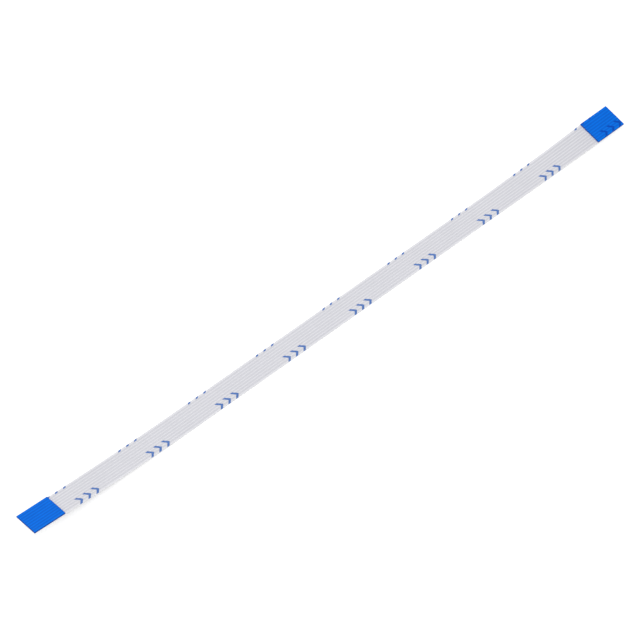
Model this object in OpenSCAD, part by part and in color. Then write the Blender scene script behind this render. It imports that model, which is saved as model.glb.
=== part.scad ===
// Flat flex cable: flat conductors side by side, laminated between two films.
// Both ends are bared on the underside and carry a stiffener on top.
// X runs along the cable, Y across it, Z up. The origin lies on the surface,
// under the middle of the cable. The middle lies flat and both ends curl up.

/* [Cable] */
// Length of the cable, from end to end
cable_length = 127; // [100:1:300]
// Number of conductors side by side
conductor_count = 8; // [4:1:12]
// Distance from one conductor to the next
conductor_pitch = 0.5; // [0.5:0.05:1.25]
// Distance from the middle of an outer conductor to the edge of the cable
edge_margin = 0.5; // [0.3:0.05:1.5]

/* [Conductors] */
// Width of a conductor
conductor_width = 0.3; // [0.2:0.01:0.35]
// Thickness of a conductor
conductor_thickness = 0.035; // [0.03:0.005:0.08]

/* [Films] */
// Thickness of each film with its adhesive
film_thickness = 0.043; // [0.03:0.001:0.08]
// Width of the slope on each side of the ridge over a conductor
ridge_flank = 0.04; // [0.01:0.01:0.06]

/* [Ends] */
// Length of bared contact at each end
contact_length = 4; // [2:0.5:5]
// Length of each stiffener
stiffener_length = 6; // [5.5:0.5:10]
// Thickness of an end, from the contacts to the top of the stiffener
end_thickness = 0.3; // [0.25:0.01:0.5]

/* [Resting shape] */
// Length of the middle that lies flat on the surface
flat_length = 60; // [10:1:70]
// Angle at which the left end points up
left_lift_angle = 4; // [0.5:0.5:15]
// Angle by which the left end leans, front edge up
left_roll_angle = 5; // [0:1:20]
// Angle at which the right end points up
right_lift_angle = 1; // [0.5:0.5:15]
// Angle by which the right end leans, back edge up
right_roll_angle = 11; // [0:1:20]

/* [Hidden] */
// Steps in which each curled stretch is drawn
curl_steps = 8;

half_length = cable_length / 2;
half_width = (conductor_count - 1) * conductor_pitch / 2 + edge_margin;
half_conductor = conductor_thickness / 2;
stiffener_thickness = end_thickness - film_thickness - conductor_thickness;
curl_length = half_length - flat_length / 2 - stiffener_length;
// Height of the layer between the films where the cable lies flat
middle_height = film_thickness + half_conductor;

film_colour = [0.86, 0.86, 0.88];
contact_colour = "silver";
stiffener_colour = [0.08, 0.42, 0.88];

// ---- The line that the middle of the cable follows ----
// A station s is a distance along the cable from its middle, negative to the left.

// How far into its curl the cable is: 0 where it lies flat, 1 from the stiffener on
function curled(s) = min(max((abs(s) - flat_length / 2) / curl_length, 0), 1);
function lift(s) = s < 0 ? left_lift_angle : right_lift_angle;
function lean(s) = (s < 0 ? -left_roll_angle : right_roll_angle) * pow(curled(s), 2);
// Turn about Y: the line rises away from the middle on both sides
function slope(s) = -sign(s) * lift(s) * curled(s);
function curl_radius(s) = curl_length * 180 / (PI * lift(s));
// Length past the curl, which the stiffener holds straight
function straight(s) = max(abs(s) - flat_length / 2 - curl_length, 0);

function along(s) = sign(s) * (
    min(abs(s), flat_length / 2)
    + curl_radius(s) * sin(lift(s) * curled(s))
    + straight(s) * cos(lift(s))
);
// The cable rises with its lower edge, so that a leaning end stays off the surface
function height(s) =
    middle_height
    + curl_radius(s) * (1 - cos(lift(s) * curled(s)))
    + straight(s) * sin(lift(s))
    + half_width * sin(abs(lean(s)));

// The place of a point of the cross-section, [across, up], at station s
function place(s, point) =
    let (
        across = point[0] * cos(lean(s)) - point[1] * sin(lean(s)),
        up = point[0] * sin(lean(s)) + point[1] * cos(lean(s))
    )
    [along(s) + up * sin(slope(s)), across, height(s) + up * cos(slope(s))];

// Stations from the middle out: the curl, the end of the lower film, the end
right_covered = concat(
    [for (k = [0:curl_steps]) flat_length / 2 + curl_length * k / curl_steps],
    [half_length - contact_length]
);
function both_sides(stations) = concat(
    [for (k = [len(stations) - 1:-1:0]) -stations[k]],
    stations
);
covered_stations = both_sides(right_covered);
all_stations = both_sides(concat(right_covered, [half_length]));

// ---- Cross-sections, as [across, up] from the layer between the films ----

function conductor_place(i) = (i - (conductor_count + 1) / 2) * conductor_pitch;

// A line across the cable that steps up over each conductor
function ridged_line(level, flank) = concat(
    [[-half_width, level]],
    [
        for (i = [1:conductor_count], side = [-1, 1])
            let (edge = conductor_place(i) + side * conductor_width / 2)
            each side < 0
                ? [[edge - flank, level], [edge, level + half_conductor]]
                : [[edge, level + half_conductor], [edge + flank, level]]
    ],
    [[half_width, level]]
);
// The same line on the other side of the layer between the films
function below(line) = [for (point = line) [point[0], -point[1]]];

// A film wraps one half of each conductor and meets the other film between them
inner_line = ridged_line(0, 0);
outer_line = ridged_line(film_thickness, ridge_flank);

// The stiffener fills in between the ridges and has a flat top
stiffener_top = film_thickness + half_conductor + stiffener_thickness;
stiffener_outline = concat(
    outer_line,
    [[half_width, stiffener_top], [-half_width, stiffener_top]]
);

// ---- Building ----

// Four corners in turn, started from an end of the shorter diagonal
function from_shorter_diagonal(corners, points) =
    norm(points[corners[0]] - points[corners[2]]) <= norm(points[corners[1]] - points[corners[3]])
        ? corners
        : [corners[1], corners[2], corners[3], corners[0]];

// A layer between two lines across the cable, carried along the stations. The
// layers share their lines, stations and diagonals, so they meet face to face.
module layer(under, over, stations) {
    count = len(under);
    last = len(stations) - 1;
    points = [for (s = stations, point = concat(under, over)) place(s, point)];
    function lower(k, i) = 2 * count * k + i;
    function upper(k, i) = lower(k, i) + count;

    underside = [
        for (k = [0:last - 1], i = [0:count - 2])
            [lower(k, i), lower(k + 1, i), lower(k + 1, i + 1), lower(k, i + 1)]
    ];
    top = [
        for (k = [0:last - 1], i = [0:count - 2])
            [upper(k, i), upper(k, i + 1), upper(k + 1, i + 1), upper(k + 1, i)]
    ];
    front_edge = [
        for (k = [0:last - 1])
            [lower(k, 0), upper(k, 0), upper(k + 1, 0), lower(k + 1, 0)]
    ];
    back_edge = [
        for (k = [0:last - 1]) let (i = count - 1)
            [upper(k, i), lower(k, i), lower(k + 1, i), upper(k + 1, i)]
    ];
    left_end = [
        for (i = [0:count - 2])
            [lower(0, i), lower(0, i + 1), upper(0, i + 1), upper(0, i)]
    ];
    right_end = [
        for (i = [0:count - 2])
            [lower(last, i), upper(last, i), upper(last, i + 1), lower(last, i + 1)]
    ];
    ends = [for (corners = concat(left_end, right_end)) from_shorter_diagonal(corners, points)];

    polyhedron(
        points = points,
        faces = [
            for (corners = concat(underside, top, front_edge, back_edge, ends))
                each [
                    [corners[0], corners[1], corners[2]],
                    [corners[0], corners[2], corners[3]]
                ]
        ],
        convexity = 10
    );
}

module upper_film() {
    color(film_colour)
        layer(inner_line, outer_line, all_stations);
}

module lower_film() {
    color(film_colour)
        layer(below(outer_line), below(inner_line), covered_stations);
}

module conductor(i) {
    top = [
        for (side = [-1, 1])
            [conductor_place(i) + side * conductor_width / 2, half_conductor]
    ];
    color(contact_colour)
        layer(below(top), top, all_stations);
}

// A strip of stiffener on the straight end that starts at station s
module stiffener(s) {
    color(stiffener_colour)
        translate([along(s), 0, height(s)])
            rotate([lean(s), slope(s), 0])
                rotate([90, 0, 90])
                    linear_extrude(stiffener_length)
                        polygon(stiffener_outline);
}

module left_stiffener() {
    stiffener(-half_length);
}

module right_stiffener() {
    stiffener(half_length - stiffener_length);
}

upper_film();
lower_film();
left_stiffener();
right_stiffener();
for (i = [1:conductor_count])
    conductor(i);
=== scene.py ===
"""Flat flex cable: flat conductors side by side between two white films, with a blue stiffener
on top of each end, contacts bared on the underside and rows of printed marks.

Everything is in metres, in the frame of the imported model: +X along the cable, +Y across it,
+Z up. The cable lies on the surface at z = 0 and both its ends curl up a little.
"""

import math

import bmesh
import bpy
from mathutils import Matrix, Vector


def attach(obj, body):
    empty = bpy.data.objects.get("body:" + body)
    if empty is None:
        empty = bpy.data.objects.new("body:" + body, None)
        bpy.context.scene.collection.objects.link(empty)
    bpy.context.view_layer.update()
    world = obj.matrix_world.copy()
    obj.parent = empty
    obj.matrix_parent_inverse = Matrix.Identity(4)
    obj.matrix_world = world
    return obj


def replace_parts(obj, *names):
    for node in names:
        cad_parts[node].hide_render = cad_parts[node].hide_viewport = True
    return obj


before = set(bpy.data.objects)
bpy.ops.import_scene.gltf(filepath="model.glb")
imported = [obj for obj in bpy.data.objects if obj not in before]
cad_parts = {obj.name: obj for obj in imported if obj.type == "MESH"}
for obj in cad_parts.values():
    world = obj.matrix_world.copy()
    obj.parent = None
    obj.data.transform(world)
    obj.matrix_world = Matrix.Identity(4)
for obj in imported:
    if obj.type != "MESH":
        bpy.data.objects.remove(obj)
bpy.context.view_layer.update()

BODY = "root"
CABLE_MAP = "Cable"  # the UV map that holds the distance along and across the cable, in metres
SHARP_ANGLE = math.radians(40)  # an edge between faces stays sharp from this angle on
END_FACING = 0.9  # a face whose normal lies more than this along the cable is at a cut end
MIX_FIRST, MIX_SECOND, MIX_RESULT = 6, 7, 2  # the colour sockets of a Mix node
SENSOR_WIDTH = 36  # of the camera, in millimetres
WHITE = (1, 1, 1, 1)
BACKDROP_STRENGTH = 1.0  # where the sky is seen directly, at which it is plain white
FLOOR_CELLS = 8  # along each side of the floor
FLOOR_DROP = 0.00001  # from the surface that the cable lies on
FLOOR_GLOW = 0.5  # light that the floor gives off where it is seen directly

bl_info = {
    "name": "Flat Flex Cable",
    "version": (1, 0, 0),
    "blender": (4, 5, 0),
    "location": "View3D > Sidebar > Flex Cable",
    "description": "Builds the films, conductors, stiffeners and print of a flat flex cable",
    "category": "Object",
}


# ---- Settings ----


class CableSettings(bpy.types.PropertyGroup):
    """Sizes of the cable and the shape in which it lies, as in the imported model."""

    length: bpy.props.FloatProperty(
        name="Length",
        description="Length of the cable, from end to end",
        default=0.127,
        unit="LENGTH",
        precision=5,
    )
    conductor_count: bpy.props.IntProperty(
        name="Conductors",
        description="Number of conductors side by side",
        default=sum(name.startswith("conductor_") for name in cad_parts),
        min=1,
    )
    conductor_pitch: bpy.props.FloatProperty(
        name="Pitch",
        description="Distance from one conductor to the next",
        default=0.0005,
        unit="LENGTH",
        precision=6,
    )
    edge_margin: bpy.props.FloatProperty(
        name="Edge margin",
        description="Distance from the middle of an outer conductor to the edge of the cable",
        default=0.0005,
        unit="LENGTH",
        precision=6,
    )
    conductor_width: bpy.props.FloatProperty(
        name="Conductor width",
        description="Width of a conductor",
        default=0.0003,
        unit="LENGTH",
        precision=6,
    )
    conductor_thickness: bpy.props.FloatProperty(
        name="Conductor thickness",
        description="Thickness of a conductor",
        default=0.000035,
        unit="LENGTH",
        precision=6,
    )
    film_thickness: bpy.props.FloatProperty(
        name="Film thickness",
        description="Thickness of each film with its adhesive",
        default=0.000043,
        unit="LENGTH",
        precision=6,
    )
    ridge_flank: bpy.props.FloatProperty(
        name="Ridge flank",
        description="Width of the slope on each side of the ridge over a conductor",
        default=0.00004,
        unit="LENGTH",
        precision=6,
    )
    contact_length: bpy.props.FloatProperty(
        name="Contact length",
        description="Length of bared contact at each end",
        default=0.004,
        unit="LENGTH",
        precision=5,
    )
    stiffener_length: bpy.props.FloatProperty(
        name="Stiffener length",
        description="Length of each stiffener",
        default=0.006,
        unit="LENGTH",
        precision=5,
    )
    end_thickness: bpy.props.FloatProperty(
        name="End thickness",
        description="Thickness of an end, from the contacts to the top of the stiffener",
        default=0.0003,
        unit="LENGTH",
        precision=6,
    )
    flat_length: bpy.props.FloatProperty(
        name="Flat length",
        description="Length of the middle that lies flat on the surface",
        default=0.06,
        unit="LENGTH",
        precision=5,
    )
    left_lift_angle: bpy.props.FloatProperty(
        name="Left lift",
        description="Angle at which the left end points up",
        default=math.radians(4),
        subtype="ANGLE",
    )
    left_roll_angle: bpy.props.FloatProperty(
        name="Left roll",
        description="Angle by which the left end leans, front edge up",
        default=math.radians(5),
        subtype="ANGLE",
    )
    right_lift_angle: bpy.props.FloatProperty(
        name="Right lift",
        description="Angle at which the right end points up",
        default=math.radians(1),
        subtype="ANGLE",
    )
    right_roll_angle: bpy.props.FloatProperty(
        name="Right roll",
        description="Angle by which the right end leans, back edge up",
        default=math.radians(11),
        subtype="ANGLE",
    )


class DetailSettings(bpy.types.PropertyGroup):
    """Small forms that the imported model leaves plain."""

    film_step: bpy.props.FloatProperty(
        name="Film step",
        description="Distance along the cable from one ring of points to the next",
        default=0.001,
        unit="LENGTH",
        precision=5,
    )
    flank_steps: bpy.props.IntProperty(
        name="Flank steps",
        description="Steps in which the slope beside a conductor is rounded",
        default=5,
        min=1,
    )
    stiffener_ripple: bpy.props.FloatProperty(
        name="Stiffener ripple",
        description="Height of the soft ribs that the conductors press into the stiffeners",
        default=0.000006,
        unit="LENGTH",
        precision=6,
    )
    stiffener_flank: bpy.props.FloatProperty(
        name="Ripple flank",
        description="Width of the slope on each side of a soft rib of the stiffener",
        default=0.00008,
        unit="LENGTH",
        precision=6,
    )
    stiffener_edge: bpy.props.FloatProperty(
        name="Stiffener edge",
        description="Radius at which the cut edges of the stiffeners are rounded",
        default=0.00002,
        unit="LENGTH",
        precision=6,
    )
    conductor_edge: bpy.props.FloatProperty(
        name="Conductor edge",
        description="Radius at which the rolled edges of the conductors are rounded",
        default=0.00001,
        unit="LENGTH",
        precision=6,
    )
    edge_steps: bpy.props.IntProperty(
        name="Edge steps",
        description="Steps in which each rounded edge is drawn",
        default=4,
        min=1,
    )


class PrintSettings(bpy.types.PropertyGroup):
    """The printed marks: groups of chevrons in rows, which the edges of the cable cut off."""

    first_group: bpy.props.FloatProperty(
        name="First group",
        description="Distance from the left end to the first group of the front row",
        default=0.00879,
        unit="LENGTH",
        precision=5,
    )
    group_pitch: bpy.props.FloatProperty(
        name="Group pitch",
        description="Distance from one group to the next",
        default=0.014215,
        unit="LENGTH",
        precision=6,
    )
    baseline: bpy.props.FloatProperty(
        name="Baseline",
        description="Distance from the front edge of the cable out to the foot of the front row",
        default=0.00012,
        unit="LENGTH",
        precision=5,
    )
    row_pitch: bpy.props.FloatProperty(
        name="Row pitch",
        description="Distance across the cable from one row to the next",
        default=0.0043,
        unit="LENGTH",
        precision=5,
    )
    row_shift: bpy.props.FloatProperty(
        name="Row shift",
        description="Distance by which each row starts nearer the left end than the row in front",
        default=0.0031,
        unit="LENGTH",
        precision=5,
    )
    chevron_count: bpy.props.IntProperty(
        name="Chevrons",
        description="Number of chevrons in a group",
        default=3,
        min=1,
    )
    chevron_pitch: bpy.props.FloatProperty(
        name="Chevron pitch",
        description="Distance from one chevron of a group to the next",
        default=0.0016,
        unit="LENGTH",
        precision=5,
    )
    chevron_height: bpy.props.FloatProperty(
        name="Chevron height",
        description="Height of a chevron, across the cable",
        default=0.00155,
        unit="LENGTH",
        precision=5,
    )
    chevron_depth: bpy.props.FloatProperty(
        name="Chevron depth",
        description="Distance by which the point of a chevron stands ahead of its two ends",
        default=0.0007,
        unit="LENGTH",
        precision=5,
    )
    stroke_width: bpy.props.FloatProperty(
        name="Stroke width",
        description="Width of a stroke of a chevron, along the cable",
        default=0.0005,
        unit="LENGTH",
        precision=6,
    )
    ink_thickness: bpy.props.FloatProperty(
        name="Ink thickness",
        description="Thickness of the dried ink",
        default=0.000004,
        unit="LENGTH",
        precision=6,
    )


class FinishSettings(bpy.types.PropertyGroup):
    """Colours of the surfaces."""

    film_colour: bpy.props.FloatVectorProperty(
        name="Film",
        description="Colour of the white film between the conductors",
        default=(0.785, 0.783, 0.825),
        subtype="COLOR",
        min=0,
        max=1,
    )
    covered_colour: bpy.props.FloatVectorProperty(
        name="Film over a conductor",
        description="Colour of the film where a conductor shows through",
        default=(0.655, 0.657, 0.705),
        subtype="COLOR",
        min=0,
        max=1,
    )
    stiffener_colour: bpy.props.FloatVectorProperty(
        name="Stiffener",
        description="Colour of the blue stiffeners",
        default=(0.001, 0.188, 0.865),
        subtype="COLOR",
        min=0,
        max=1,
    )
    # Partly painted shade: the darker blue over each conductor is mostly painted shade of the soft ribs
    # and partly the conductor showing through
    rib_shade_colour: bpy.props.FloatVectorProperty(
        name="Stiffener over a conductor",
        description="Colour of the stiffeners where a conductor shows through",
        default=(0.001, 0.135, 0.705),
        subtype="COLOR",
        min=0,
        max=1,
    )
    ink_colour: bpy.props.FloatVectorProperty(
        name="Ink",
        description="Colour of the printed marks",
        default=(0.10, 0.205, 0.52),
        subtype="COLOR",
        min=0,
        max=1,
    )
    # Painted highlight: the lighter colour along the cut edges of the films stands in for light at
    # those edges
    film_edge_highlight_colour: bpy.props.FloatVectorProperty(
        name="Film edge",
        description="Colour of the cut edges of the films, which scatter the light",
        default=(0.93, 0.93, 0.94),
        subtype="COLOR",
        min=0,
        max=1,
    )
    # Painted shade: the darker blue along the cut edges of the stiffeners stands in for the shade at
    # their edges
    rim_shade_colour: bpy.props.FloatVectorProperty(
        name="Stiffener rim",
        description="Colour of the stiffeners at their cut edges",
        default=(0.006, 0.085, 0.46),
        subtype="COLOR",
        min=0,
        max=1,
    )
    hidden_ink_colour: bpy.props.FloatVectorProperty(
        name="Ink below a stiffener",
        description="Colour of a printed mark that shows through a stiffener",
        default=(0.001, 0.08, 0.52),
        subtype="COLOR",
        min=0,
        max=1,
    )
    tin_colour: bpy.props.FloatVectorProperty(
        name="Tin",
        description="Colour of the tin plating on the contacts",
        default=(0.68, 0.68, 0.66),
        subtype="COLOR",
        min=0,
        max=1,
    )
    copper_colour: bpy.props.FloatVectorProperty(
        name="Copper",
        description="Colour of the copper that shows where a conductor is cut off",
        default=(0.80, 0.42, 0.26),
        subtype="COLOR",
        min=0,
        max=1,
    )


class StageSettings(bpy.types.PropertyGroup):
    """Camera, lamps and floor."""

    aim: bpy.props.FloatVectorProperty(
        name="Aim",
        description="Point at the middle of the picture",
        default=(-0.002437, 0.000851, 0.0),
        subtype="XYZ",
        unit="LENGTH",
    )
    azimuth: bpy.props.FloatProperty(
        name="Azimuth",
        description="Direction of the camera, 0 from the front and 90 degrees from the right",
        default=math.radians(-41.948),
        subtype="ANGLE",
    )
    elevation: bpy.props.FloatProperty(
        name="Elevation",
        description="Height of the camera above the horizon, as an angle",
        default=math.radians(51.274),
        subtype="ANGLE",
    )
    distance: bpy.props.FloatProperty(
        name="Distance",
        description="Distance from the camera to the point that it aims at",
        default=0.53114,
        unit="LENGTH",
        precision=5,
    )
    lens: bpy.props.FloatProperty(
        name="Lens",
        description=f"Focal length in millimetres, on a sensor {SENSOR_WIDTH} mm wide",
        default=186.25,
    )
    sky_strength: bpy.props.FloatProperty(
        name="Sky strength",
        description="Strength of the even light from all round",
        default=0.5,
    )
    key_power: bpy.props.FloatProperty(
        name="Key power",
        description="Power of the lamp on the right behind, in watts",
        default=6.0,
    )
    fill_power: bpy.props.FloatProperty(
        name="Fill power",
        description="Power of the lamp on the left in front, in watts",
        default=4.0,
    )
    key_place: bpy.props.FloatVectorProperty(
        name="Key place",
        description="Place of the lamp on the right behind",
        default=(0.35, 0.65, 1.1),
        subtype="XYZ",
        unit="LENGTH",
    )
    fill_place: bpy.props.FloatVectorProperty(
        name="Fill place",
        description="Place of the lamp on the left in front",
        default=(-0.6, -0.45, 1.0),
        subtype="XYZ",
        unit="LENGTH",
    )
    lamp_size: bpy.props.FloatProperty(
        name="Lamp size",
        description="Side of each square lamp",
        default=0.8,
        unit="LENGTH",
    )
    floor_size: bpy.props.FloatProperty(
        name="Floor size",
        description="Side of the square floor",
        default=6.0,
        unit="LENGTH",
    )
    floor_colour: bpy.props.FloatVectorProperty(
        name="Floor",
        description="Colour of the pale floor",
        default=(0.8, 0.8, 0.8),
        subtype="COLOR",
        min=0,
        max=1,
    )


# ---- The line that the cable follows ----


class Route:
    """The line that the middle of the cable follows.

    A station is a distance along the cable from its middle, negative to the left."""

    def __init__(self, cable):
        self.cable = cable
        self.half_length = cable.length / 2
        self.half_flat = cable.flat_length / 2
        self.curl = self.half_length - self.half_flat - cable.stiffener_length
        self.half_width = half_width(cable)
        self.middle_height = cable.film_thickness + cable.conductor_thickness / 2

    def curled(self, station):
        """0 where the cable lies flat, 1 from the stiffener on."""
        return min(max((abs(station) - self.half_flat) / self.curl, 0.0), 1.0)

    def lift(self, station):
        """The angle at which that end points up."""
        return self.cable.left_lift_angle if station < 0 else self.cable.right_lift_angle

    def lean(self, station):
        """The angle by which the cable leans there, positive with the back edge up."""
        most = -self.cable.left_roll_angle if station < 0 else self.cable.right_roll_angle
        return most * self.curled(station) ** 2

    def straight(self, station):
        """Length past the curl, which the stiffener holds straight."""
        return max(abs(station) - self.half_flat - self.curl, 0.0)

    def frame_at(self, station):
        """The place of the middle of the cable there, and its directions across and up."""
        side = -1.0 if station < 0 else 1.0
        radius = self.curl / self.lift(station)
        turn = self.lift(station) * self.curled(station)
        straight = self.straight(station)
        run = min(abs(station), self.half_flat) + radius * math.sin(turn)
        rise = radius * (1 - math.cos(turn))
        edge_rise = self.half_width * math.sin(abs(self.lean(station)))
        middle = Vector((
            side * (run + straight * math.cos(self.lift(station))),
            0.0,
            self.middle_height + rise + straight * math.sin(self.lift(station)) + edge_rise,
        ))
        to_slope = Matrix.Rotation(-side * turn, 3, "Y")
        to_lean = Matrix.Rotation(self.lean(station), 3, "X")
        across = to_slope @ to_lean @ Vector((0, 1, 0))
        up = to_slope @ to_lean @ Vector((0, 0, 1))
        return middle, across, up

    def stations(self, step, bared=0.0):
        """Stations from end to end, or from one bared length to the other."""
        reach = self.half_length - bared
        return stations_between(-reach, reach, step)


def half_width(cable):
    return (cable.conductor_count - 1) * cable.conductor_pitch / 2 + cable.edge_margin


def conductor_places(cable):
    """The places of the conductors across the cable, from front to back."""
    middle = (cable.conductor_count - 1) / 2
    return [(number - middle) * cable.conductor_pitch for number in range(cable.conductor_count)]


def stations_between(start, end, step):
    count = max(1, math.ceil((end - start) / step))
    return [start + (end - start) * number / count for number in range(count + 1)]


# ---- Lines across the cable, as (across, up) from the layer between the films ----


def swell(share):
    """A smooth step from 0 to 1."""
    return (1 - math.cos(math.pi * share)) / 2


def ridged_line(cable, level, rise, flank, steps):
    """A line across the cable, from front to back, that rises over each conductor."""
    line = [(-half_width(cable), level)]
    for place in conductor_places(cable):
        for side in (-1, 1):
            edge = place + side * cable.conductor_width / 2
            slope = [
                (edge - flank * (1 - number / steps), level + rise * swell(number / steps))
                for number in range(steps + 1)
            ]
            if side > 0:
                slope = [(2 * edge - across, up) for across, up in reversed(slope)]
            line += slope
    return line + [(half_width(cable), level)]


def film_line(cable, detail):
    """The outer face of a film, with a rounded ridge over each conductor."""
    rise = cable.conductor_thickness / 2
    return ridged_line(cable, cable.film_thickness, rise, cable.ridge_flank, detail.flank_steps)


def below(line):
    """The same line on the other side of the layer between the films."""
    return [(across, -up) for across, up in line]


def with_edges(line, radius, fall, steps):
    """The line with its two end points drawn out into rounds that fall by this share of the radius.

    A fall of 1 makes quarter rounds, and one of 0 leaves the line flat with as many points."""
    (front, level), (back, _) = line[0], line[-1]
    angles = [math.pi / 2 * number / steps for number in range(steps + 1)]
    rounds = [
        (radius * (1 - math.cos(angle)), level - fall * radius * (1 - math.sin(angle)))
        for angle in angles
    ]
    front_round = [(front + inward, up) for inward, up in rounds]
    back_round = [(back - inward, up) for inward, up in reversed(rounds)]
    return front_round + line[1:-1] + back_round


def height_on(line, across):
    """The height of a line at a place across the cable."""
    for (start, low), (end, high) in zip(line, line[1:]):
        if start <= across <= end and end > start:
            return low + (high - low) * (across - start) / (end - start)
    raise ValueError(f"{across} is not on the line")


# ---- Meshes ----


def swept_strip(name, route, under, over, stations, drop=None):
    """A closed strip between two lines across the cable, carried along the stations.

    drop(station) lowers the upper line there."""
    outline = under + over[::-1]
    round_count, line_count = len(outline), len(under)
    points, places = [], []
    for station in stations:
        middle, across_way, up_way = route.frame_at(station)
        for number, (across, up) in enumerate(outline):
            if drop is not None and number >= line_count:
                up -= drop(station)
            points.append(middle + across_way * across + up_way * up)
            places.append((station + route.half_length, across + route.half_width))

    faces = []
    for ring in range(len(stations) - 1):
        here, after = ring * round_count, (ring + 1) * round_count
        for number in range(round_count):
            beside = (number + 1) % round_count
            faces.append((here + number, here + beside, after + beside, after + number))
    last = (len(stations) - 1) * round_count
    for number in range(line_count - 1):
        low, low_beside = number, number + 1
        high, high_beside = round_count - 1 - number, round_count - 2 - number
        faces.append((low, high, high_beside, low_beside))
        faces.append((last + low, last + low_beside, last + high_beside, last + high))
    return new_piece(name, points, faces, places)


def new_piece(name, points, faces, places):
    """An object of that mesh, with the place of each point on the cable in a UV map."""
    mesh = bpy.data.meshes.new(name)
    mesh.from_pydata(points, [], faces)
    layer = mesh.uv_layers.new(name=CABLE_MAP)
    for loop in mesh.loops:
        layer.data[loop.index].uv = places[loop.vertex_index]
    mesh.validate()
    mesh.polygons.foreach_set("use_smooth", [True] * len(mesh.polygons))
    mesh.set_sharp_from_angle(angle=SHARP_ANGLE)
    mesh.update()
    piece = bpy.data.objects.new(name, mesh)
    bpy.context.scene.collection.objects.link(piece)
    return piece


def dress(piece, slot, *materials):
    for material in materials:
        piece.data.materials.append(material)
    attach(piece, BODY)
    return piece


# ---- Node tools ----


def feed(tree, socket, value):
    """Links a socket to another one, or sets it to a number or colour."""
    if isinstance(value, bpy.types.NodeSocket):
        tree.links.new(value, socket)
    elif hasattr(value, "__len__") and len(value) == 3 and len(socket.default_value) == 4:
        socket.default_value = (*value, 1)
    else:
        socket.default_value = value


def calculate(tree, operation, *values):
    node = tree.nodes.new("ShaderNodeMath")
    node.operation = operation
    for socket, value in zip(node.inputs, values):
        feed(tree, socket, value)
    return node.outputs[0]


def mix_colours(tree, share, first, second):
    node = tree.nodes.new("ShaderNodeMix")
    node.data_type = "RGBA"
    feed(tree, node.inputs["Factor"], share)
    feed(tree, node.inputs[MIX_FIRST], first)
    feed(tree, node.inputs[MIX_SECOND], second)
    return node.outputs[MIX_RESULT]


def vary(tree, share, least, spread):
    """A value that rises from the least by the spread, as the share rises from 0 to 1."""
    return calculate(tree, "MULTIPLY_ADD", share, spread, least)


def new_group(name, inputs, outputs, vectors=()):
    """An empty node group, with the sockets inside it that give its inputs and take its outputs.

    Inputs and outputs are single values, but for the inputs that are named as vectors."""
    group = bpy.data.node_groups.new(name, "ShaderNodeTree")
    for label in vectors:
        group.interface.new_socket(label, in_out="INPUT", socket_type="NodeSocketVector")
    for label in inputs:
        group.interface.new_socket(label, in_out="INPUT", socket_type="NodeSocketFloat")
    for label in outputs:
        group.interface.new_socket(label, in_out="OUTPUT", socket_type="NodeSocketFloat")
    given = group.nodes.new("NodeGroupInput").outputs
    wanted = group.nodes.new("NodeGroupOutput").inputs
    return group, given, wanted


def use_group(tree, group, **values):
    """Places a group in a material, with its values by the names of its inputs."""
    node = tree.nodes.new("ShaderNodeGroup")
    node.node_tree = group
    for label, value in values.items():
        feed(tree, node.inputs[label.replace("_", " ")], value)
    return node.outputs


def place_on_cable(tree):
    """The distances from the left end and from the front edge of the cable."""
    node = tree.nodes.new("ShaderNodeUVMap")
    node.uv_map = CABLE_MAP
    parts = tree.nodes.new("ShaderNodeSeparateXYZ")
    tree.links.new(node.outputs["UV"], parts.inputs["Vector"])
    return parts.outputs["X"], parts.outputs["Y"]


def place_in_frame(tree):
    return tree.nodes.new("ShaderNodeTexCoord").outputs["Object"]


def noise_at(tree, vector, size, detail):
    """Soft noise whose patches are about that wide."""
    node = tree.nodes.new("ShaderNodeTexNoise")
    feed(tree, node.inputs["Vector"], vector)
    feed(tree, node.inputs["Scale"], calculate(tree, "DIVIDE", 1.0, size))
    node.inputs["Detail"].default_value = detail
    return node.outputs["Fac"]


def soft_step(tree, value, edge, softness):
    """0 up to an edge and 1 past it, softly."""
    step = tree.nodes.new("ShaderNodeMapRange")
    step.interpolation_type = "SMOOTHSTEP"
    feed(tree, step.inputs["Value"], value)
    feed(tree, step.inputs["From Min"], calculate(tree, "SUBTRACT", edge, softness))
    feed(tree, step.inputs["From Max"], calculate(tree, "ADD", edge, softness))
    return step.outputs["Result"]


def inside(tree, value, size, softness):
    """1 between 0 and that size, and 0 outside, softly."""
    past_start = soft_step(tree, value, 0.0, softness)
    past_end = soft_step(tree, value, size, softness)
    return calculate(tree, "SUBTRACT", past_start, past_end)


# ---- Node groups ----


def stripes_group():
    """A mask that is 1 over each conductor and 0 between them, with soft edges."""
    group, given, wanted = new_group(
        "Conductor stripes",
        ["Across", "First", "Pitch", "Count", "Width", "Softness"],
        ["Mask"],
    )
    from_first = calculate(group, "SUBTRACT", given["Across"], given["First"])
    number = calculate(group, "ROUND", calculate(group, "DIVIDE", from_first, given["Pitch"]))
    last = calculate(group, "SUBTRACT", given["Count"], 1.0)
    number = calculate(group, "MAXIMUM", calculate(group, "MINIMUM", number, last), 0.0)
    nearest = calculate(group, "MULTIPLY", number, given["Pitch"])
    away = calculate(group, "ABSOLUTE", calculate(group, "SUBTRACT", from_first, nearest))
    half_conductor = calculate(group, "DIVIDE", given["Width"], 2.0)
    outside = soft_step(group, away, half_conductor, given["Softness"])
    feed(group, wanted["Mask"], calculate(group, "SUBTRACT", 1.0, outside))
    return group


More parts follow.
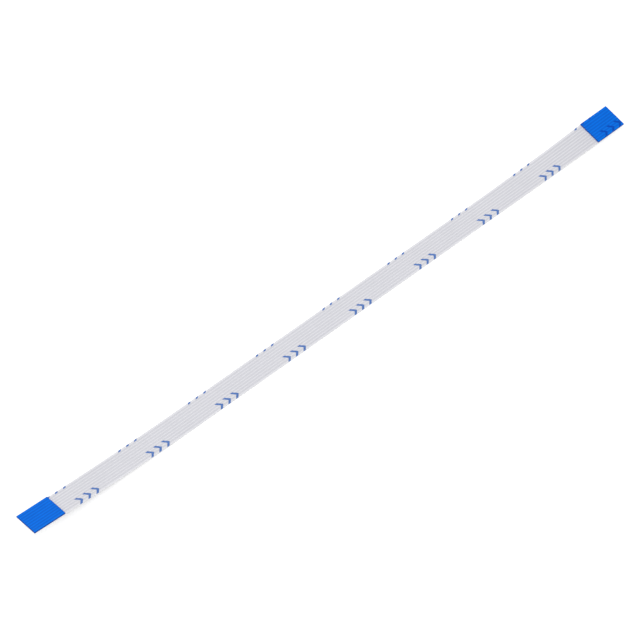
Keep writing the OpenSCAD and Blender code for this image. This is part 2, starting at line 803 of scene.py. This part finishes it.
def rim_group():
    """A mask that is 1 at the outline of a piece and 0 further in.

    A piece runs from an end of the cable to a distance from that end, or over all of the cable."""
    group, given, wanted = new_group(
        "Rim",
        ["Along", "Across", "Cable length", "Cable width", "Ends", "Rim width"],
        ["Mask"],
    )
    from_right = calculate(group, "SUBTRACT", given["Cable length"], given["Along"])
    from_end = calculate(group, "MINIMUM", given["Along"], from_right)
    before_end = calculate(group, "SUBTRACT", given["Ends"], from_end)
    from_back = calculate(group, "SUBTRACT", given["Cable width"], given["Across"])
    lengthwise = calculate(group, "MINIMUM", from_end, before_end)
    crosswise = calculate(group, "MINIMUM", given["Across"], from_back)
    inward = calculate(group, "MINIMUM", lengthwise, crosswise)
    half_rim = calculate(group, "DIVIDE", given["Rim width"], 2.0)
    inner = soft_step(group, inward, half_rim, half_rim)
    feed(group, wanted["Mask"], calculate(group, "SUBTRACT", 1.0, inner))
    return group


def print_group():
    """A mask of the printed chevrons, the same as those on the film."""
    group, given, wanted = new_group(
        "Printed chevrons",
        [
            "Along", "Across", "First group", "Group pitch", "Baseline", "Row pitch", "Row shift",
            "Count", "Pitch", "Height", "Depth", "Stroke", "Softness",
        ],
        ["Mask"],
    )
    from_baseline = calculate(group, "ADD", given["Across"], given["Baseline"])
    rows = calculate(group, "DIVIDE", from_baseline, given["Row pitch"])
    row = calculate(group, "FLOOR", rows)
    above_foot = calculate(
        group, "MULTIPLY", calculate(group, "SUBTRACT", rows, row), given["Row pitch"]
    )
    share = calculate(group, "DIVIDE", above_foot, given["Height"])
    from_middle = calculate(
        group, "ABSOLUTE", calculate(group, "MULTIPLY_ADD", share, 2.0, -1.0)
    )
    ahead = calculate(
        group, "MULTIPLY", calculate(group, "SUBTRACT", 1.0, from_middle), given["Depth"]
    )
    moved = calculate(group, "MULTIPLY_ADD", row, given["Row shift"], given["Along"])
    from_first = calculate(group, "SUBTRACT", moved, given["First group"])
    from_foot = calculate(group, "SUBTRACT", from_first, ahead)
    in_group = calculate(group, "FLOORED_MODULO", from_foot, given["Group pitch"])
    in_chevron = calculate(group, "FLOORED_MODULO", in_group, given["Pitch"])
    group_length = calculate(group, "MULTIPLY", given["Count"], given["Pitch"])
    stroke = inside(group, in_chevron, given["Stroke"], given["Softness"])
    height = inside(group, above_foot, given["Height"], given["Softness"])
    within = calculate(group, "LESS_THAN", in_group, group_length)
    mask = calculate(group, "MULTIPLY", calculate(group, "MULTIPLY", stroke, height), within)
    feed(group, wanted["Mask"], mask)
    return group


def uneven_group():
    """A tone about 1 that varies in soft patches, and a fine grain for the height and the gloss."""
    group, given, wanted = new_group(
        "Uneven surface",
        ["Patch size", "Patch strength", "Grain size"],
        ["Tone", "Grain"],
        vectors=["Place"],
    )
    patches = noise_at(group, given["Place"], given["Patch size"], detail=3.0)
    centred = calculate(group, "SUBTRACT", patches, 0.5)
    tone = calculate(group, "MULTIPLY_ADD", centred, given["Patch strength"], 1.0)
    feed(group, wanted["Tone"], tone)
    feed(group, wanted["Grain"], noise_at(group, given["Place"], given["Grain size"], detail=2.0))
    return group


def streaks_group():
    """Fine lines along the cable, such as rolling and drawing leave on metal."""
    group, given, wanted = new_group(
        "Lengthwise streaks",
        ["Along", "Across", "Length", "Width"],
        ["Streaks"],
    )
    joined = group.nodes.new("ShaderNodeCombineXYZ")
    feed(group, joined.inputs["X"], calculate(group, "DIVIDE", given["Along"], given["Length"]))
    feed(group, joined.inputs["Y"], calculate(group, "DIVIDE", given["Across"], given["Width"]))
    feed(group, wanted["Streaks"], noise_at(group, joined.outputs["Vector"], size=1.0, detail=2.0))
    return group


# ---- Materials ----


def new_material(name):
    material = bpy.data.materials.new(name)
    material.use_nodes = True
    tree = material.node_tree
    return material, tree, tree.nodes["Principled BSDF"].inputs


def bump(tree, shader, height, depth):
    node = tree.nodes.new("ShaderNodeBump")
    node.inputs["Strength"].default_value = 1.0
    node.inputs["Distance"].default_value = depth
    feed(tree, node.inputs["Height"], height)
    feed(tree, shader["Normal"], node.outputs["Normal"])


def stripes_on(tree, groups, cable, across, softness):
    return use_group(
        tree,
        groups["stripes"],
        Across=across,
        First=cable.edge_margin,
        Pitch=cable.conductor_pitch,
        Count=float(cable.conductor_count),
        Width=cable.conductor_width,
        Softness=softness,
    )["Mask"]


def toned(tree, colour, tone):
    """The colour lightened or darkened by a value about 1."""
    node = tree.nodes.new("ShaderNodeVectorMath")
    node.operation = "SCALE"
    feed(tree, node.inputs[0], colour)
    feed(tree, node.inputs["Scale"], tone)
    return node.outputs[0]


def rim_on(tree, groups, cable, along, across, ends, rim_width):
    """The rim of a piece that runs from an end of the cable to that distance from it."""
    return use_group(
        tree,
        groups["rim"],
        Along=along,
        Across=across,
        Cable_length=cable.length,
        Cable_width=2 * half_width(cable),
        Ends=ends,
        Rim_width=rim_width,
    )["Mask"]


def film_material(groups, cable, finish):
    """The film has its rim of painted highlight along the outline of the whole cable, so the lower
    film's ends have none.
    """
    material, tree, shader = new_material("white film")
    along, across = place_on_cable(tree)
    mask = stripes_on(tree, groups, cable, across, softness=0.00008)
    rim = rim_on(tree, groups, cable, along, across, ends=cable.length, rim_width=0.00002)
    surface = use_group(
        tree,
        groups["uneven"],
        Place=place_in_frame(tree),
        Patch_size=0.004,
        Patch_strength=0.06,
        Grain_size=0.00006,
    )
    colour = mix_colours(tree, mask, finish.film_colour, finish.covered_colour)
    # Lightens the film along its outline: a painted highlight on the cut edges
    colour = mix_colours(tree, rim, colour, finish.film_edge_highlight_colour)
    feed(tree, shader["Base Color"], toned(tree, colour, surface["Tone"]))
    feed(tree, shader["Roughness"], vary(tree, surface["Grain"], least=0.32, spread=0.15))
    shader["Specular IOR Level"].default_value = 0.3
    bump(tree, shader, surface["Grain"], depth=0.0000006)
    return material


def stiffener_material(groups, cable, finish, marks):
    material, tree, shader = new_material("blue stiffener")
    along, across = place_on_cable(tree)
    mask = stripes_on(tree, groups, cable, across, softness=0.0001)
    ends = cable.stiffener_length
    # The rim is a band of painted shade along the cut edges of the stiffener
    rim = rim_on(tree, groups, cable, along, across, ends, rim_width=0.00012)
    print_below = use_group(
        tree,
        groups["print"],
        Along=along,
        Across=across,
        First_group=marks.first_group,
        Group_pitch=marks.group_pitch,
        Baseline=marks.baseline,
        Row_pitch=marks.row_pitch,
        Row_shift=marks.row_shift,
        Count=float(marks.chevron_count),
        Pitch=marks.chevron_pitch,
        Height=marks.chevron_height,
        Depth=marks.chevron_depth,
        Stroke=marks.stroke_width,
        Softness=0.00007,
    )["Mask"]
    surface = use_group(
        tree,
        groups["uneven"],
        Place=place_in_frame(tree),
        Patch_size=0.0015,
        Patch_strength=0.15,
        Grain_size=0.00005,
    )
    # The stripes over the conductors are mostly painted shade of the soft ribs and partly the
    # conductors showing through the blue
    colour = mix_colours(tree, mask, finish.stiffener_colour, finish.rib_shade_colour)
    colour = mix_colours(tree, print_below, colour, finish.hidden_ink_colour)
    colour = mix_colours(tree, rim, colour, finish.rim_shade_colour)
    feed(tree, shader["Base Color"], toned(tree, colour, surface["Tone"]))
    feed(tree, shader["Roughness"], vary(tree, surface["Grain"], least=0.4, spread=0.15))
    shader["Specular IOR Level"].default_value = 0.05
    bump(tree, shader, surface["Grain"], depth=0.0000008)
    return material


def ink_material(groups, finish):
    material, tree, shader = new_material("blue ink")
    surface = use_group(
        tree,
        groups["uneven"],
        Place=place_in_frame(tree),
        Patch_size=0.0003,
        Patch_strength=0.5,
        Grain_size=0.00003,
    )
    feed(tree, shader["Base Color"], toned(tree, finish.ink_colour, surface["Tone"]))
    feed(tree, shader["Roughness"], vary(tree, surface["Grain"], least=0.5, spread=0.2))
    shader["Specular IOR Level"].default_value = 0.2
    bump(tree, shader, surface["Grain"], depth=0.000001)
    return material


def metal_material(name, groups, colour, roughness):
    material, tree, shader = new_material(name)
    along, across = place_on_cable(tree)
    streaks = use_group(
        tree, groups["streaks"], Along=along, Across=across, Length=0.003, Width=0.00002
    )["Streaks"]
    tone = vary(tree, streaks, least=0.85, spread=0.3)
    feed(tree, shader["Base Color"], toned(tree, colour, tone))
    feed(tree, shader["Roughness"], vary(tree, streaks, roughness, spread=0.25))
    shader["Metallic"].default_value = 1.0
    bump(tree, shader, streaks, depth=0.0000005)
    return material


def shared_groups():
    """The node groups by short names, each made once."""
    makers = {
        "stripes": ("Conductor stripes", stripes_group),
        "rim": ("Rim", rim_group),
        "print": ("Printed chevrons", print_group),
        "uneven": ("Uneven surface", uneven_group),
        "streaks": ("Lengthwise streaks", streaks_group),
    }
    made = bpy.data.node_groups
    return {key: made.get(name) or make() for key, (name, make) in makers.items()}


# ---- Operators ----


class FLEXCABLE_OT_stage(bpy.types.Operator):
    """Add the camera, the lamps and the floor"""

    bl_idname = "flexcable.stage"
    bl_label = "Stage"

    def execute(self, context):
        stage = context.scene.flex_stage
        add_camera(context, stage)
        add_sky(context, stage)
        add_lamp(context, "key_lamp", stage.key_power, stage.key_place, stage.lamp_size)
        add_lamp(context, "fill_lamp", stage.fill_power, stage.fill_place, stage.lamp_size)
        add_floor(context, stage)
        return {"FINISHED"}


def add_camera(context, stage):
    camera_data = bpy.data.cameras.new("camera")
    camera_data.lens = stage.lens
    camera_data.sensor_width = SENSOR_WIDTH
    camera_data.clip_start = stage.distance / 100
    camera_data.clip_end = stage.distance * 100
    camera = bpy.data.objects.new("camera", camera_data)
    context.scene.collection.objects.link(camera)
    back = Vector((
        math.sin(stage.azimuth) * math.cos(stage.elevation),
        -math.cos(stage.azimuth) * math.cos(stage.elevation),
        math.sin(stage.elevation),
    ))
    camera.location = Vector(stage.aim) + back * stage.distance
    camera.rotation_euler = back.to_track_quat("Z", "Y").to_euler()
    context.scene.camera = camera
    context.scene.view_settings.view_transform = "Standard"


def seen_directly(tree):
    """1 for a ray from the camera or from a mirror or glass, 0 for a ray that carries light."""
    path = tree.nodes.new("ShaderNodeLightPath").outputs
    mirrored = calculate(tree, "MAXIMUM", path["Is Glossy Ray"], path["Is Transmission Ray"])
    return calculate(tree, "MAXIMUM", path["Is Camera Ray"], mirrored)


def add_sky(context, stage):
    world = bpy.data.worlds.new("sky")
    world.use_nodes = True
    tree = world.node_tree
    light = tree.nodes["Background"]
    light.inputs["Color"].default_value = WHITE
    light.inputs["Strength"].default_value = stage.sky_strength
    backdrop = tree.nodes.new("ShaderNodeBackground")
    backdrop.inputs["Color"].default_value = WHITE
    backdrop.inputs["Strength"].default_value = BACKDROP_STRENGTH
    chosen = tree.nodes.new("ShaderNodeMixShader")
    feed(tree, chosen.inputs[0], seen_directly(tree))
    tree.links.new(light.outputs[0], chosen.inputs[1])
    tree.links.new(backdrop.outputs[0], chosen.inputs[2])
    tree.links.new(chosen.outputs[0], tree.nodes["World Output"].inputs["Surface"])
    context.scene.world = world


def add_lamp(context, name, power, place, size):
    """A square lamp there, which shines on the origin."""
    lamp_data = bpy.data.lights.new(name, "AREA")
    lamp_data.energy = power
    lamp_data.size = size
    lamp = bpy.data.objects.new(name, lamp_data)
    lamp.location = place
    lamp.rotation_euler = Vector(place).to_track_quat("Z", "Y").to_euler()
    context.scene.collection.objects.link(lamp)


def add_floor(context, stage):
    """A plain floor, just below the cable, that looks white where no shadow falls."""
    mesh = bpy.data.meshes.new("floor")
    bm = bmesh.new()
    half_side = stage.floor_size / 2
    bmesh.ops.create_grid(bm, x_segments=FLOOR_CELLS, y_segments=FLOOR_CELLS, size=half_side)
    bm.to_mesh(mesh)
    bm.free()
    floor = bpy.data.objects.new("floor", mesh)
    floor.location.z = -FLOOR_DROP
    context.scene.collection.objects.link(floor)

    material, tree, shader = new_material("floor")
    shader["Base Color"].default_value = (*stage.floor_colour, 1)
    shader["Roughness"].default_value = 0.9
    shader["Specular IOR Level"].default_value = 0.0
    glow = tree.nodes.new("ShaderNodeEmission")
    strength = calculate(tree, "MULTIPLY", seen_directly(tree), FLOOR_GLOW)
    feed(tree, glow.inputs["Strength"], strength)
    both = tree.nodes.new("ShaderNodeAddShader")
    tree.links.new(tree.nodes["Principled BSDF"].outputs[0], both.inputs[0])
    tree.links.new(glow.outputs[0], both.inputs[1])
    tree.links.new(both.outputs[0], tree.nodes["Material Output"].inputs["Surface"])
    mesh.materials.append(material)


class FLEXCABLE_OT_films(bpy.types.Operator):
    """Add the upper and the lower film, with a rounded ridge over each conductor"""

    bl_idname = "flexcable.films"
    bl_label = "Films"

    def execute(self, context):
        cable, detail = context.scene.flex_cable, context.scene.flex_detail
        route = Route(cable)
        material = film_material(shared_groups(), cable, context.scene.flex_finish)
        rise = cable.conductor_thickness / 2
        inner = ridged_line(cable, 0.0, rise, 0.0, detail.flank_steps)
        outer = film_line(cable, detail)
        whole = route.stations(detail.film_step)
        covered = route.stations(detail.film_step, cable.contact_length)
        upper = swept_strip("upper_film_skin", route, inner, outer, whole)
        lower = swept_strip("lower_film_skin", route, below(outer), below(inner), covered)
        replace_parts(dress(upper, "film", material), "upper_film")
        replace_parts(dress(lower, "film", material), "lower_film")
        return {"FINISHED"}


class FLEXCABLE_OT_conductors(bpy.types.Operator):
    """Add the tinned conductors, whose ends show the copper inside"""

    bl_idname = "flexcable.conductors"
    bl_label = "Conductors"

    def execute(self, context):
        cable, detail = context.scene.flex_cable, context.scene.flex_detail
        finish = context.scene.flex_finish
        groups = shared_groups()
        tin = metal_material("tin plating", groups, finish.tin_colour, roughness=0.22)
        copper = metal_material("cut copper", groups, finish.copper_colour, roughness=0.35)
        route = Route(cable)
        stations = route.stations(detail.film_step)
        half = cable.conductor_width / 2
        level = cable.conductor_thickness / 2
        for number, place in enumerate(conductor_places(cable), start=1):
            line = [(place - half, level), (place, level), (place + half, level)]
            top = with_edges(line, detail.conductor_edge, 1, detail.edge_steps)
            strip = swept_strip(f"tinned_strip_{number}", route, below(top), top, stations)
            dress(strip, "contact", tin, copper)
            show_copper(strip)
            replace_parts(strip, f"conductor_{number}")
        return {"FINISHED"}


def show_copper(strip):
    """Gives the copper, the strip's second material, to the faces at its two ends."""
    for face in strip.data.polygons:
        if abs(face.normal.x) > END_FACING:
            face.material_index = 1


class FLEXCABLE_OT_stiffeners(bpy.types.Operator):
    """Add the blue stiffeners on top of both ends"""

    bl_idname = "flexcable.stiffeners"
    bl_label = "Stiffeners"

    def execute(self, context):
        cable, detail = context.scene.flex_cable, context.scene.flex_detail
        scene = context.scene
        material = stiffener_material(shared_groups(), cable, scene.flex_finish, scene.flex_print)
        route = Route(cable)
        ripple, flank = detail.stiffener_ripple, detail.stiffener_flank
        top_level = cable.end_thickness - cable.conductor_thickness / 2 - ripple
        over = ridged_line(cable, top_level, ripple, flank, detail.flank_steps)
        end, length, edge = route.half_length, cable.stiffener_length, detail.stiffener_edge
        under = with_edges(film_line(cable, detail), edge, 0, detail.edge_steps)
        over = with_edges(over, edge, 1, detail.edge_steps)
        for name, start in (("left_stiffener", -end), ("right_stiffener", end - length)):

            def drop(station):
                """How far the rounded cut edges at the ends lie below the top there."""
                from_end = min(station - start, start + length - station)
                short = max(edge - from_end, 0.0)
                return edge - math.sqrt(max(edge**2 - short**2, 0.0))

            near_end = [
                start + edge * number / detail.edge_steps for number in range(detail.edge_steps)
            ]
            between = stations_between(start + edge, start + length - edge, detail.film_step)
            far_end = [2 * start + length - station for station in reversed(near_end)]
            piece = swept_strip(
                f"{name}_strip", route, under, over, near_end + between + far_end, drop
            )
            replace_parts(dress(piece, "stiffener", material), name)
        return {"FINISHED"}


class FLEXCABLE_OT_print(bpy.types.Operator):
    """Add the printed marks on the upper film"""

    bl_idname = "flexcable.print"
    bl_label = "Print"

    def execute(self, context):
        cable, detail = context.scene.flex_cable, context.scene.flex_detail
        marks = context.scene.flex_print
        material = ink_material(shared_groups(), context.scene.flex_finish)
        route = Route(cable)
        outer = film_line(cable, detail)
        points, faces, places = [], [], []
        for along, foot in chevrons(cable, marks):
            add_chevron(points, faces, places, route, outer, marks, along, foot)
        dress(new_piece("print_marks", points, faces, places), None, material)
        return {"FINISHED"}


def chevrons(cable, marks):
    """The foot of each chevron, as its distances from the left end and the front edge."""
    width = 2 * half_width(cable)
    row_count = math.ceil((width + marks.baseline) / marks.row_pitch)
    group_count = math.ceil(cable.length / marks.group_pitch) + 1
    feet = []
    for row in range(row_count):
        for group in range(group_count):
            start = marks.first_group + group * marks.group_pitch - row * marks.row_shift
            for number in range(marks.chevron_count):
                along = start + number * marks.chevron_pitch
                if along + marks.chevron_depth + marks.stroke_width < cable.length:
                    feet.append((along, row * marks.row_pitch - marks.baseline))
    return feet


def add_chevron(points, faces, places, route, outer, marks, along, foot):
    """Adds one chevron of ink, which follows the ridges of the film and ends at its edges."""
    half = route.half_width
    point = foot + marks.chevron_height / 2
    low, high = max(foot, 0.0), min(foot + marks.chevron_height, 2 * half)
    between = {across + half for across, _ in outer} | {point}
    levels = [low, *sorted(across for across in between if low < across < high), high]
    first = len(points)
    for across in levels:
        from_point = abs(across - point) / (marks.chevron_height / 2)
        near = along + (1 - from_point) * marks.chevron_depth
        far = near + marks.stroke_width
        surface = height_on(outer, min(max(across - half, -half), half))
        top = surface + marks.ink_thickness
        for distance, up in ((near, surface), (far, surface), (far, top), (near, top)):
            middle, across_way, up_way = route.frame_at(distance - route.half_length)
            points.append(middle + across_way * (across - half) + up_way * up)
            places.append((distance, across))
    for level in range(len(levels) - 1):
        here, after = first + 4 * level, first + 4 * (level + 1)
        for corner in range(4):
            beside = (corner + 1) % 4
            faces.append((here + corner, after + corner, after + beside, here + beside))
    last = first + 4 * (len(levels) - 1)
    faces.append((first, first + 1, first + 2, first + 3))
    faces.append((last + 3, last + 2, last + 1, last))


class FLEXCABLE_OT_declare(bpy.types.Operator):
    """Finish without adding or changing anything"""

    bl_idname = "flexcable.declare"
    bl_label = "Declare the cable"

    def execute(self, context):
        return {"FINISHED"}


STEPS = (
    FLEXCABLE_OT_stage,
    FLEXCABLE_OT_films,
    FLEXCABLE_OT_conductors,
    FLEXCABLE_OT_stiffeners,
    FLEXCABLE_OT_print,
    FLEXCABLE_OT_declare,
)


class FLEXCABLE_PT_panel(bpy.types.Panel):
    """The steps in order, with the settings that they use"""

    bl_idname = "FLEXCABLE_PT_panel"
    bl_label = "Flat Flex Cable"
    bl_space_type = "VIEW_3D"
    bl_region_type = "UI"
    bl_category = "Flex Cable"

    def draw(self, context):
        for step in STEPS:
            self.layout.operator(step.bl_idname)
        for group in SETTINGS:
            settings = getattr(context.scene, group)
            box = self.layout.box()
            for name in settings.__annotations__:
                box.prop(settings, name)


SETTINGS = {
    "flex_cable": CableSettings,
    "flex_detail": DetailSettings,
    "flex_print": PrintSettings,
    "flex_finish": FinishSettings,
    "flex_stage": StageSettings,
}
CLASSES = (*SETTINGS.values(), *STEPS, FLEXCABLE_PT_panel)


def register():
    for cls in CLASSES:
        bpy.utils.register_class(cls)
    for name, group in SETTINGS.items():
        setattr(bpy.types.Scene, name, bpy.props.PointerProperty(type=group))


def unregister():
    for name in SETTINGS:
        delattr(bpy.types.Scene, name)
    for cls in reversed(CLASSES):
        bpy.utils.unregister_class(cls)


def main():
    register()
    bpy.ops.flexcable.stage()
    bpy.ops.flexcable.films()
    bpy.ops.flexcable.conductors()
    bpy.ops.flexcable.stiffeners()
    bpy.ops.flexcable.print()
    bpy.ops.flexcable.declare()


if __name__ == "__main__":
    main()
